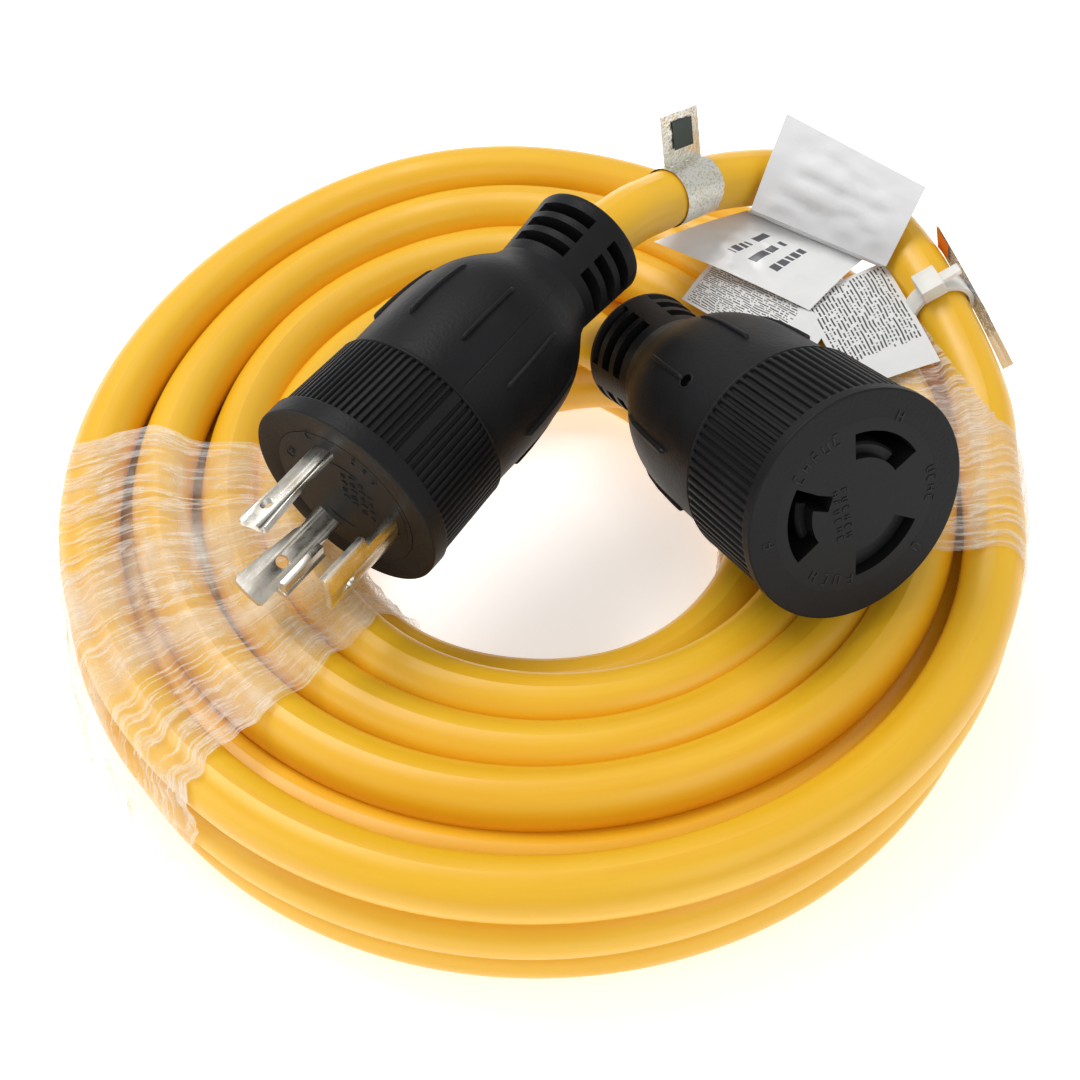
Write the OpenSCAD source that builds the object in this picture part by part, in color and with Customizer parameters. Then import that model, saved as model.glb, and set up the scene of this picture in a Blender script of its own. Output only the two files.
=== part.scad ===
// Twist-lock extension cord, wound into a flat round coil.
// A three-wire cord with a moulded plug at one end and a moulded connector at the other,
// held by two stretch-film wraps and a cable tie, with its labels and its folded leaflet.
// The coil lies on the plane z = 0, centred on the z axis.

/* [Cord] */
// Outer diameter of the cord's jacket
cord_d = 13.4; // [12.8:0.1:13.6]
// Outer diameter of one insulated conductor
core_d = 4; // [3.4:0.1:4.2]
// Radius to the middle of the outermost turn
coil_outer_r = 104.6; // [104:0.1:105]
// Radius to the middle of the innermost turn
coil_inner_r = 48.6; // [48:0.1:49]

/* [Plug] */
// Outer radius of the plug's face
plug_r = 23.4; // [23:0.1:24]
// Length from the face to the end of the strain relief
plug_len = 86.5; // [86:0.5:90]
// Radius to the middle of the blades' thickness
blade_pitch_r = 13.2; // [13:0.1:13.4]
// Thickness of a blade
blade_t = 1.5; // [1.3:0.1:1.6]
// How far the shortest blade stands out of the face
blade_out = 21.3; // [20:0.1:22]

/* [Connector] */
// Outer radius of the connector's face
conn_r = 25.4; // [25:0.1:26]
// Length from the face to the end of the strain relief
conn_len = 87; // [86:0.5:90]
// Inner radius of the curved slots
slot_r1 = 10.6; // [10.4:0.1:11]
// Outer radius of the curved slots
slot_r2 = 16.4; // [16:0.1:16.6]
// Arc that each slot covers, in degrees
slot_arc = 62; // [56:1:64]
// Depth of the slots
slot_depth = 22; // [20:1:23]

/* [Strain reliefs] */
// Slots along each set
relief_slots = 3; // [2:1:3]
// Sets of slots around the sleeve
relief_sets = 4; // [3:1:4]
// Length of one slot along the cord
relief_slot_w = 2.6; // [2:0.1:2.8]

/* [Packaging] */
// Thickness of the built-up stretch film
film_t = 0.8; // [0.6:0.1:1]
// Thickness of the paper and foil labels
paper_t = 0.4; // [0.3:0.1:0.6]
// Width of the cable tie's strap
tie_w = 4.6; // [3.6:0.1:4.8]

/* [Hidden] */
$fn = 72;

cord_r = cord_d / 2;
core_r = core_d / 2;
gap = 0.1;

// Poses: the middle of each face, and the tilt and turn of its outward normal.
plug_at = [-39.9, -26.6, 61.1];
plug_tilt = 93;
plug_turn = -128;
conn_at = [63.5, -39.5, 68.2];
conn_tilt = 70.5;
conn_turn = -62;

plug_dir = [
    sin(plug_tilt) * cos(plug_turn), sin(plug_tilt) * sin(plug_turn), cos(plug_tilt)
];
conn_dir = [
    sin(conn_tilt) * cos(conn_turn), sin(conn_tilt) * sin(conn_turn), cos(conn_tilt)
];

// Depths behind the faces.
insert_depth = 22;
plug_grip_end = 24;
plug_neck = 68;
conn_grip_end = 25.2;
conn_neck = 71;
jacket_end = 62;

// Angles of the three poles on each face (X, Y, earth), and the arc of each blade's stem.
plug_pole = [86, 195, 331];
conn_pole = [143, 23, 263];
stem_arc = [34, 22, 26];
blade_holes = [[-3, 15.2], [2, 16.8], [-1.7, 15]];

module place_plug() {
    translate(plug_at)
        rotate([0, plug_tilt, plug_turn])
            children();
}

module place_conn() {
    translate(conn_at)
        rotate([0, conn_tilt, conn_turn])
            children();
}

// A piece of a ring: radii a to b, heights z0 to z1, an arc centred on the x axis.
module sector(a, b, z0, z1, arc) {
    rotate([0, 0, -arc / 2])
        rotate_extrude(angle = arc)
            translate([a, z0])
                square([b - a, z1 - z0]);
}

// Outline of a ribbed grip band: raised flat-topped ribs around a smaller root circle.
function rib_points(root, tip, count) = [
    for (i = [0 : count - 1])
        for (k = [[0.08, root], [0.22, tip], [0.68, tip], [0.82, root]])
            [k[1] * cos((i + k[0]) * 360 / count), k[1] * sin((i + k[0]) * 360 / count)]
];

// Body of revolution with a smooth dome, drawn from [radius, depth behind the face].
module turned(profile) {
    rotate_extrude()
        polygon([for (p = profile) [p[0], -p[1]]]);
}

// Eight long thin ribs moulded on the dome, even about the parting line.
module dome_ribs(r, start, len, lean, first) {
    for (i = [0 : 7])
        rotate([0, 0, first + i * 40])
            translate([r, 0, -start])
                rotate([0, 180 + lean, 0])
                    translate([-0.8, -0.6, 0])
                        cube([1.6, 1.2, len]);
}

// The solid round conductor from its crimp to the end of the jacket.
module core_path(r, pole, from, extra) {
    drop = jacket_end - from - 6;
    run = blade_pitch_r - 2.7;
    rotate([0, 0, pole]) {
        translate([blade_pitch_r, 0, -from - 6.6])
            cylinder(r = r, h = 6.6);
        translate([blade_pitch_r, 0, -from - 6])
            rotate([0, atan2(-run, -drop), 0])
                translate([0, 0, -0.6])
                    cylinder(r = r, h = sqrt(run * run + drop * drop) + 0.6 + extra);
    }
}

// Barrel that grips the end of a conductor.
module crimp(pole, z0, z1, clear) {
    rotate([0, 0, pole])
        translate([blade_pitch_r, 0, -z1])
            cylinder(r = 2.8 + clear, h = z1 - z0);
}

module strain_relief(neck, end, r1, r2) {
    difference() {
        turned([
            [0, neck - 8], [9, neck - 8], [9, neck], [r1, neck], [r1 + 0.2, neck + 5],
            [r2 - 0.3, end - 5], [r2, end - 1.4], [r2 - 0.2, end - 0.5], [r2 - 1, end],
            [0, end]
        ]);
        translate([0, 0, -end - 1])
            cylinder(r = cord_r, h = end - neck + 10);
        for (k = [0 : relief_sets - 1])
            for (i = [0 : relief_slots - 1])
                rotate([0, 0, 33 + k * 360 / relief_sets])
                    sector(8.4, 16, -neck - 3 - i * 4.6 - relief_slot_w,
                        -neck - 3 - i * 4.6, 64);
    }
}

// ---- plug ----

module plug_overmold() {
    color("#26272a")
        place_plug()
            difference() {
                union() {
                    turned([
                        [0, 0], [plug_r - 0.9, 0], [plug_r - 0.2, 0.4], [plug_r, 1.2],
                        [plug_r, 4], [plug_r - 0.4, 4.6], [0, 4.6]
                    ]);
                    translate([0, 0, -plug_grip_end])
                        linear_extrude(plug_grip_end - 4.6)
                            polygon(rib_points(21.6, 22.4, 64));
                    turned([
                        [0, plug_grip_end], [22, plug_grip_end], [22, plug_grip_end + 0.6],
                        [21.2, plug_grip_end + 0.8], [21.3, 32], [21.3, 40], [20.9, 46],
                        [20.2, 51], [19, 55.2], [17.2, 59], [15.2, 62.2], [13.4, 65],
                        [12.4, plug_neck], [0, plug_neck]
                    ]);
                    dome_ribs(21.2, 31, 19, 3, 16);
                }
                translate([0, 0, -insert_depth])
                    cylinder(r = 17.6, h = insert_depth + 1);
                translate([0, 0, -plug_neck - 1])
                    cylinder(r = 9, h = 9);
                for (k = [0 : 2]) {
                    rotate([0, 0, plug_pole[k]])
                        sector(blade_pitch_r - blade_t / 2 - gap, blade_pitch_r + blade_t / 2 + gap,
                            -31, -insert_depth + 1, stem_arc[k] + 1);
                    crimp(plug_pole[k], 30, 39, gap);
                    core_path(core_r + gap, plug_pole[k], 35, 2);
                }
            }
}

module plug_strain_relief() {
    color("#26272a")
        place_plug()
            strain_relief(plug_neck, plug_len, 12.3, 13.6);
}

module plug_face_insert() {
    color("#303134")
        place_plug()
            difference() {
                translate([0, 0, -insert_depth])
                    cylinder(r = 17.6, h = insert_depth);
                for (k = [0 : 2])
                    rotate([0, 0, plug_pole[k]])
                        sector(blade_pitch_r - blade_t / 2, blade_pitch_r + blade_t / 2,
                            -insert_depth - 1, 1, stem_arc[k]);
            }
}

// A curved blade: a stem that runs into the body, and a wider head cut to an outline.
module blade(k, head, head_start) {
    difference() {
        union() {
            sector(blade_pitch_r - blade_t / 2, blade_pitch_r + blade_t / 2,
                -31, head_start, stem_arc[k]);
            intersection() {
                sector(blade_pitch_r - blade_t / 2, blade_pitch_r + blade_t / 2, 2, 30, 80);
                rotate([90, 0, 90])
                    linear_extrude(20)
                        polygon(head);
            }
        }
        rotate([0, 0, blade_holes[k][0]])
            translate([0, 0, blade_holes[k][1]])
                rotate([0, 90, 0])
                    cylinder(r = 1.5, h = 20);
    }
}

module blade_with_crimp(k, head, head_start) {
    difference() {
        union() {
            rotate([0, 0, plug_pole[k]])
                blade(k, head, head_start);
            crimp(plug_pole[k], 30, 39, 0);
        }
        rotate([0, 0, plug_pole[k]])
            translate([blade_pitch_r, 0, -39.5])
                cylinder(r = core_r, h = 4.5);
    }
}

module blade_x() {
    color("#c9c3b4")
        place_plug()
            difference() {
                union() {
                    rotate([0, 0, plug_pole[0] + 5])
                        sector(blade_pitch_r - blade_t / 2, blade_pitch_r + blade_t / 2,
                            -31, blade_out, 44);
                    crimp(plug_pole[0], 30, 39, 0);
                }
                // Below the head only the narrow stem is left, which makes the lock notch.
                rotate([0, 0, plug_pole[0] + 27])
                    sector(blade_pitch_r - 2, blade_pitch_r + 2, -32, 8.6, 20);
                rotate([0, 0, plug_pole[0]])
                    translate([blade_pitch_r, 0, -39.5])
                        cylinder(r = core_r, h = 4.5);
                rotate([0, 0, plug_pole[0] + blade_holes[0][0]])
                    translate([0, 0, blade_holes[0][1]])
                        rotate([0, 90, 0])
                            cylinder(r = 1.5, h = 20);
            }
}

module blade_y() {
    color("#c9c3b4")
        place_plug()
            blade_with_crimp(1, [
                [-2.3, 9.6], [-2.6, 10.6], [-3.4, blade_out + 0.4], [-2.7, blade_out + 1.3],
                [3.2, blade_out + 1.3], [3.95, blade_out + 0.2], [2.6, 10.6], [2.3, 9.6]
            ], 12);
}

// The earth blade also carries a flange that points to the middle of the face.
module blade_ground() {
    color("#c9c3b4")
        place_plug()
            union() {
                blade_with_crimp(2, [
                    [-2.7, 6.4], [-3.3, 8], [-5.25, blade_out + 3.1], [-4.5, blade_out + 4.1],
                    [2.3, blade_out + 4.1], [2.86, blade_out + 3.5], [2.86, 20.4], [5.37, 20.4],
                    [5.37, 7.8], [2.7, 7.8]
                ], 10);
                rotate([0, 0, plug_pole[2] + 19.5])
                    translate([blade_pitch_r - 4.2, -blade_t / 2, 8])
                        cube([4.2, blade_t, 12.2]);
            }
}

module plug_core_x() {
    color("#1b1b1d")
        place_plug()
            core_path(core_r, plug_pole[0], 35, 0);
}

module plug_core_y() {
    color("#e6e4dd")
        place_plug()
            core_path(core_r, plug_pole[1], 35, 0);
}

module plug_core_ground() {
    color("#2f7d3c")
        place_plug()
            core_path(core_r, plug_pole[2], 35, 0);
}

// ---- connector ----

module connector_overmold() {
    color("#26272a")
        place_conn()
            difference() {
                union() {
                    turned([
                        [0, 0], [conn_r - 0.9, 0], [conn_r - 0.2, 0.4], [conn_r, 1.2],
                        [conn_r, 2.4], [conn_r - 0.6, 3], [0, 3]
                    ]);
                    translate([0, 0, -conn_grip_end])
                        linear_extrude(conn_grip_end - 3)
                            polygon(rib_points(23.8, 24.6, 70));
                    turned([
                        [0, conn_grip_end], [24.2, conn_grip_end], [24.2, conn_grip_end + 0.6],
                        [22.9, conn_grip_end + 0.8], [22.8, 34], [22.5, 42], [22.1, 48],
                        [21.3, 53], [19.9, 57.4], [18, 61.4], [15.9, 65], [14, 68],
                        [13.2, conn_neck], [0, conn_neck]
                    ]);
                    dome_ribs(22.8, 34, 20, 3, 20);
                }
                translate([0, 0, -insert_depth - 2])
                    cylinder(r = 19.1, h = insert_depth + 3);
                translate([0, 0, -conn_neck - 1])
                    cylinder(r = 9, h = 9);
                for (pole = conn_pole) {
                    rotate([0, 0, pole])
                        translate([blade_pitch_r, 0, -33])
                            cylinder(r = 2.1, h = 8);
                    crimp(pole, 32, 41, gap);
                    core_path(core_r + gap, pole, 37, 2);
                }
            }
}

module connector_strain_relief() {
    color("#26272a")
        place_conn()
            strain_relief(conn_neck, conn_len, 13, 13.8);
}

// The face insert, with a curved slot for each blade and a key slot for the earth flange.
module connector_face_insert() {
    color("#303134")
        place_conn()
            difference() {
                translate([0, 0, -insert_depth - 2])
                    cylinder(r = 19.1, h = insert_depth + 2);
                for (pole = conn_pole)
                    rotate([0, 0, pole]) {
                        sector(slot_r1, slot_r2, -slot_depth, 1, slot_arc);
                        translate([blade_pitch_r, 0, -33])
                            cylinder(r = 2.1, h = 13);
                    }
                rotate([0, 0, conn_pole[2] - slot_arc / 2 + 9.4])
                    translate([6.6, -1.7, -slot_depth])
                        cube([5.2, 3.4, slot_depth + 1]);
            }
}

// A folded spring contact: two leaves joined across the bottom, with a crimp behind.
module contact(pole) {
    difference() {
        union() {
            rotate([0, 0, pole]) {
                rotate([0, 0, -21])
                    rotate_extrude(angle = 42)
                        polygon([
                            [11.1, -21.8], [15.2, -21.8], [15.2, -9], [14.6, -8.4],
                            [14.2, -9], [14.2, -20.8], [12.1, -20.8], [12.1, -9],
                            [11.7, -8.4], [11.1, -9]
                        ]);
                translate([blade_pitch_r, 0, -32.5])
                    cylinder(r = 2, h = 11.2);
            }
            crimp(pole, 32, 41, 0);
        }
        rotate([0, 0, pole])
            translate([blade_pitch_r, 0, -41.5])
                cylinder(r = core_r, h = 4.5);
    }
}

module contact_x() {
    color("#b8944a")
        place_conn()
            contact(conn_pole[0]);
}

module contact_y() {
    color("#b8944a")
        place_conn()
            contact(conn_pole[1]);
}

module contact_ground() {
    color("#b8944a")
        place_conn()
            contact(conn_pole[2]);
}

module connector_core_x() {
    color("#1b1b1d")
        place_conn()
            core_path(core_r, conn_pole[0], 37, 0);
}

module connector_core_y() {
    color("#e6e4dd")
        place_conn()
            core_path(core_r, conn_pole[1], 37, 0);
}

module connector_core_ground() {
    color("#2f7d3c")
        place_conn()
            core_path(core_r, conn_pole[2], 37, 0);
}

// ---- cord ----

// Outer shape of the wound turns, seen in section: straight sides between the corner turns.
module coil_section(grow) {
    r = cord_r + grow;
    polygon([
        [coil_inner_r, 6.7 - r], [102.2, 6.7 - r], [102.2 + r, 6.5], [coil_outer_r + r, 33.2],
        [coil_outer_r, 33.2 + r], [83.5, 31.9 + r], [57.3, 31 + r], [51.8, 34.8 + grow],
        [coil_inner_r - 0.2 - r, 20], [coil_inner_r - r, 6.7]
    ]);
    translate([coil_inner_r, 6.7])
        circle(r = r);
    translate([102.2, 6.7])
        circle(r = r);
    translate([coil_outer_r, 33.2])
        circle(r = r);
    translate([57.3, 31])
        circle(r = r);
}

// The turns under the connector and beside its strain relief lie lower, so it rests in them.
module connector_seat() {
    place_conn()
        turned([
            [0, -1], [conn_r + 0.4, -1], [conn_r + 0.4, 3.2], [25.1, 3.4], [24.9, 26.4],
            [23.9, 26.8], [23.6, 42], [22.6, 52], [18.9, 62], [15, 69], [14.3, 74],
            [14.2, conn_len + 0.5], [0, conn_len + 0.5]
        ]);
}

module coil_body() {
    difference() {
        rotate_extrude()
            coil_section(0);
        connector_seat();
    }
}

module cord_coil() {
    color("#f5bf2c")
        coil_body();
}

// Points of the plug's tail, from inside the strain relief to the outermost top turn.
plug_route = [
    plug_at - jacket_end * plug_dir,
    plug_at - 78 * plug_dir,
    [21.6, 49.6, 64.2],
    [29.5, 58.5, 60.5],
    [39, 67.5, 56.8],
    [50, 74, 53],
    [62, 77.3, 49.8],
    [73, 76, 47],
    [83, 67.5, 44.5],
    [90.5, 55.5, 42],
    [95.2, 42.5, 39.5],
    [99.5, 28.5, 36.5],
    [102, 14, 34.2],
    [101, 0, 33.3]
];

// Points of the connector's tail, from inside the strain relief into the inner turns.
conn_route = [
    conn_at - (jacket_end + 3) * conn_dir,
    conn_at - 80 * conn_dir,
    [16, 40, 33.5],
    [10, 48, 31.5],
    [0, 56, 30.5],
    [-12, 60, 30]
];

function unit(v) = v / norm(v);

// A smooth curve through the route: each span is a cubic whose ends lean along its neighbours.
function span_point(p, i, t) =
    let (
        a = p[max(i - 1, 0)],
        b = p[i],
        c = p[i + 1],
        d = p[min(i + 2, len(p) - 1)]
    )
    b * 1 + (c - a) * t / 2 + (2 * a - 5 * b + 4 * c - d) * t * t / 2
        + (3 * b - a - 3 * c + d) * t * t * t / 2;

function smooth(p, per) = concat(
    [for (i = [0 : len(p) - 2]) for (k = [0 : per - 1]) span_point(p, i, k / per)],
    [p[len(p) - 1]]
);

function heading(p, i) = unit(p[min(i + 1, len(p) - 1)] - p[max(i - 1, 0)]);

// One ring of the tube, square to the heading, with its first corner turned to the top.
function ring(c, h, r, n) =
    let (
        side = unit(cross(h, [0, 0, 1])),
        up = cross(side, h)
    )
    [for (k = [0 : n - 1]) c + r * cos(k * 360 / n) * side + r * sin(k * 360 / n) * up];

module tube(route, r, n, per) {
    line = smooth(route, per);
    last = len(line) - 1;
    rings = [for (i = [0 : last]) ring(line[i], heading(line, i), r, n)];
    points = [for (q = rings) each q];
    walls = [
        for (i = [0 : last - 1]) for (k = [0 : n - 1])
            [i * n + k, i * n + (k + 1) % n, (i + 1) * n + (k + 1) % n, (i + 1) * n + k]
    ];
    near = [for (k = [n - 1 : -1 : 0]) k];
    far = [for (k = [0 : n - 1]) last * n + k];
    polyhedron(points, concat([near], walls, [far]));
}

module plug_tail() {
    color("#f5bf2c")
        difference() {
            tube(plug_route, cord_r - 0.02, 12, 2);
            rotate_extrude()
                coil_section(0.02);
        }
}

module connector_tail() {
    color("#f5bf2c")
        difference() {
            tube(conn_route, cord_r - 0.02, 12, 2);
            rotate_extrude()
                coil_section(0.02);
        }
}

// ---- packaging ----

// A thin flat leaf between four corners.
module leaf(corners) {
    hull()
        for (p = corners)
            translate(p)
                cube(0.5, center = true);
}

// Strap round the plug's tail, square to it, with the head on top.
module cable_tie() {
    color("#eceae3")
        translate([95.2, 42.5, 39.5])
            rotate([0, 0, -72])
                rotate([90, 0, 90])
                    translate([0, 0, -tie_w / 2]) {
                        difference() {
                            cylinder(r = cord_r + 1.5, h = tie_w);
                            translate([0, 0, -1])
                                cylinder(r = cord_r + 0.35, h = tie_w + 2);
                        }
                        rotate([0, 0, 22]) {
                            translate([-2.8, 7.4, -0.8])
                                cube([5.6, 4, tie_w + 1.6]);
                            translate([2, 8.6, 1])
                                cube([5.8, 1.2, 2.6]);
                        }
                    }
}

// Foil label wrapped round the plug's tail, its joined ends standing up as a flag.
module foil_label() {
    color("#b9b2a4")
        translate([36.6, 65.3, 57.8])
            rotate([0, 0, 43])
                rotate([0, 16, 0])
                    rotate([90, 0, 90])
                        rotate([0, 0, 20])
                            translate([0, 0, -6.5]) {
                                difference() {
                                    cylinder(r = cord_r + 0.8, h = 13);
                                    translate([0, 0, -1])
                                        cylinder(r = cord_r + 0.35, h = 15);
                                }
                                translate([-2.2, cord_r + 0.5, 0])
                                    cube([paper_t, 14, 13]);
                            }
}

// Adhesive label looped round the plug's tail: a front leaf, a back leaf, and an inward leaf that
// comes from under it.
module flag_label() {
    color("#f2f1ee")
        union() {
            leaf([[52.5, 64.5, 52], [83.5, 51, 45], [93, 63.5, 58], [61.5, 80, 67.5]]);
            leaf([[61.5, 80, 67.5], [93, 63.5, 58], [90, 69.5, 41], [57, 85.5, 50]]);
            leaf([[52.5, 64.5, 52], [83.5, 51, 45], [79, 55.5, 43.5], [52.5, 69.5, 47]]);
            leaf([[52.5, 69.5, 47], [79, 55.5, 43.5], [64.5, 40, 42.5], [29.5, 62, 45]]);
        }
}

// Folded leaflet lying flat on the turns behind the connector.
module leaflet() {
    color("#f2f1ee")
        translate([0, 0, 40.3])
            linear_extrude(paper_t)
                polygon([[35, 47], [43, 59], [62, 44.5], [84, 55.5], [93, 24], [71, 15.5], [60, 22]]);
}

// The leaflet's outer flap, standing beyond the plug's tail.
module leaflet_flap() {
    color("#f2f1ee")
        leaf([[96, 59.5, 50], [110.5, 26, 37], [109, 28, 33], [97, 58, 44]]);
}

// Stretch film over the coil: top, outer wall and inner wall of the section.
module film(from, to) {
    rotate([0, 0, from])
        rotate_extrude(angle = to - from)
            difference() {
                coil_section(0.3 + film_t);
                coil_section(0.3);
                translate([30, -5])
                    square([100, 6]);
            }
}

module film_wrap_left() {
    color("#e9e6dc", 0.5)
        film(174, 228);
}

module film_wrap_right() {
    color("#e9e6dc", 0.5)
        difference() {
            film(-18, 22);
            connector_seat();
        }
}

plug_overmold();
plug_strain_relief();
plug_face_insert();
blade_x();
blade_y();
blade_ground();
plug_core_x();
plug_core_y();
plug_core_ground();
connector_overmold();
connector_strain_relief();
connector_face_insert();
contact_x();
contact_y();
contact_ground();
connector_core_x();
connector_core_y();
connector_core_ground();
cord_coil();
plug_tail();
connector_tail();
cable_tie();
foil_label();
flag_label();
leaflet();
leaflet_flap();
film_wrap_left();
film_wrap_right();
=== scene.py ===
import math

import bmesh
import bpy
import numpy as np
from mathutils import Matrix, Vector, noise


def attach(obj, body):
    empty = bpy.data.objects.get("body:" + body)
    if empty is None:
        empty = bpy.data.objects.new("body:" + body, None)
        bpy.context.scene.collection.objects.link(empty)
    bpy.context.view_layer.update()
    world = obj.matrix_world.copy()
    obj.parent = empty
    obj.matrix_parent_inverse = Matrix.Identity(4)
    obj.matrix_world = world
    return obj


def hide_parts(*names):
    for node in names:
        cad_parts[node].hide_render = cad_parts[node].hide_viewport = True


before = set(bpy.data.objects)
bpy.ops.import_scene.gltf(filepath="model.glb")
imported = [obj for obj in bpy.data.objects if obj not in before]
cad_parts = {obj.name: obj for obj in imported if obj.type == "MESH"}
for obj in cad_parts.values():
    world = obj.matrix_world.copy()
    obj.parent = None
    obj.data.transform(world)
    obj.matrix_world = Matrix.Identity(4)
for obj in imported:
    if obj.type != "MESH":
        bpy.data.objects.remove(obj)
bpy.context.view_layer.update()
MM = 0.001
TAU = 2 * math.pi
scene = bpy.context.scene


# ---------------------------------------------------------------- camera and light

def look_at(eye, aim, roll):
    fwd = (Vector(aim) - Vector(eye)).normalized()
    right = fwd.cross(Vector((0, 0, 1))).normalized()
    up = right.cross(fwd)
    c, s = math.cos(roll), math.sin(roll)
    r, u = right * c + up * s, up * c - right * s
    m = Matrix((r, u, -fwd)).transposed().to_4x4()
    m.translation = Vector(eye)
    return m


cam_data = bpy.data.cameras.new("camera")
cam_data.sensor_width = 36
cam_data.lens = 70.67
cam_data.clip_start, cam_data.clip_end = 0.01, 20
cam = bpy.data.objects.new("camera", cam_data)
scene.collection.objects.link(cam)
cam.matrix_world = look_at((0, -0.30503, 0.39848), (0, -0.00217, 0.0133), math.radians(-2))
scene.camera = cam
scene.view_settings.view_transform = "Standard"


def area_light(name, eye, aim, size, power):
    data = bpy.data.lights.new(name, "AREA")
    data.shape, data.size, data.size_y = "RECTANGLE", size[0], size[1]
    data.energy = power
    light = bpy.data.objects.new(name, data)
    scene.collection.objects.link(light)
    light.matrix_world = look_at(eye, aim, 0)


area_light("key", (-0.35, 0.35, 1.0), (0, 0, 0.03), (0.7, 0.5), 6.6)
area_light("fill", (0.7, -0.75, 0.8), (0, 0, 0.03), (0.8, 0.8), 2.3)
area_light("side", (-0.9, -0.4, 0.45), (0, 0, 0.04), (0.5, 0.6), 1.4)
world = bpy.data.worlds.new("studio")
scene.world = world
world.use_nodes = True
world.node_tree.nodes["Background"].inputs["Color"].default_value = (1, 1, 1, 1)
world.node_tree.nodes["Background"].inputs["Strength"].default_value = 0.52


# ---------------------------------------------------------------- material helpers

class Mat:
    """A material with one Principled shader, and short calls that add nodes to it."""

    def __init__(self, name, color, rough, metallic=0.0, **sockets):
        self.m = bpy.data.materials.new(name)
        self.m.use_nodes = True
        self.nt = self.m.node_tree
        self.p = self.nt.nodes["Principled BSDF"]
        self.p.inputs["Base Color"].default_value = (*color, 1)
        self.p.inputs["Roughness"].default_value = rough
        self.p.inputs["Metallic"].default_value = metallic
        for k, v in sockets.items():
            self.p.inputs[k.replace("_", " ")].default_value = v

    def node(self, kind, _links=None, **props):
        n = self.nt.nodes.new(kind)
        for k, v in props.items():
            setattr(n, k, v)
        for k, v in (_links or {}).items():
            if isinstance(v, bpy.types.NodeSocket):
                self.nt.links.new(v, n.inputs[k])
            else:
                n.inputs[k].default_value = v
        return n

    def coord(self, which="Object"):
        return self.node("ShaderNodeTexCoord").outputs[which]

    def noise(self, scale, detail=3.0, vec=None, rough=0.5):
        n = self.node("ShaderNodeTexNoise", {"Vector": vec or self.coord(), "Scale": scale,
                                             "Detail": detail, "Roughness": rough})
        return n.outputs["Fac"]

    def stretch(self, vec, scale):
        return self.node("ShaderNodeMapping", {"Vector": vec, "Scale": scale}).outputs[0]

    def math(self, op, a, b=0.0, c=0.0):
        return self.node("ShaderNodeMath", {0: a, 1: b, 2: c}, operation=op).outputs[0]

    def ramp(self, fac, lo, hi, a=0.0, b=1.0):
        n = self.node("ShaderNodeMapRange", {"Value": fac, "From Min": lo, "From Max": hi,
                                             "To Min": a, "To Max": b})
        return n.outputs[0]

    def mix(self, fac, a, b):
        n = self.node("ShaderNodeMix", data_type="RGBA")
        for sock, v in ((n.inputs[0], fac), (n.inputs[6], a), (n.inputs[7], b)):
            if isinstance(v, bpy.types.NodeSocket):
                self.nt.links.new(v, sock)
            else:
                sock.default_value = (*v, 1) if isinstance(v, tuple) else v
        return n.outputs[2]

    def bump(self, height, strength, distance, normal=None):
        links = {"Height": height, "Strength": strength, "Distance": distance}
        if normal is not None:
            links["Normal"] = normal
        return self.node("ShaderNodeBump", links).outputs[0]

    def to(self, socket, value):
        self.nt.links.new(value, self.p.inputs[socket])


def black_pvc(name, base, rough, grain):
    m = Mat(name, base, rough, Specular_IOR_Level=0.17)
    n = m.noise(1900, 2)
    cells = m.node("ShaderNodeTexVoronoi", {"Vector": m.coord(), "Scale": 1250.0}).outputs["Distance"]
    soft = m.noise(60, 4)
    m.to("Roughness", m.ramp(soft, 0.3, 0.7, rough - 0.06, rough + 0.08))
    dust = m.ramp(m.noise(900, 5, rough=0.7), 0.68, 0.80)
    shade = m.mix(m.ramp(soft, 0.35, 0.7), base, tuple(c * 1.5 for c in base))
    m.to("Base Color", m.mix(m.math("MULTIPLY", dust, 0.10), shade, (0.30, 0.30, 0.31)))
    first = m.bump(cells, grain, 0.00012)
    m.to("Normal", m.bump(n, grain * 0.6, 0.00006, first))
    return m.m


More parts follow.
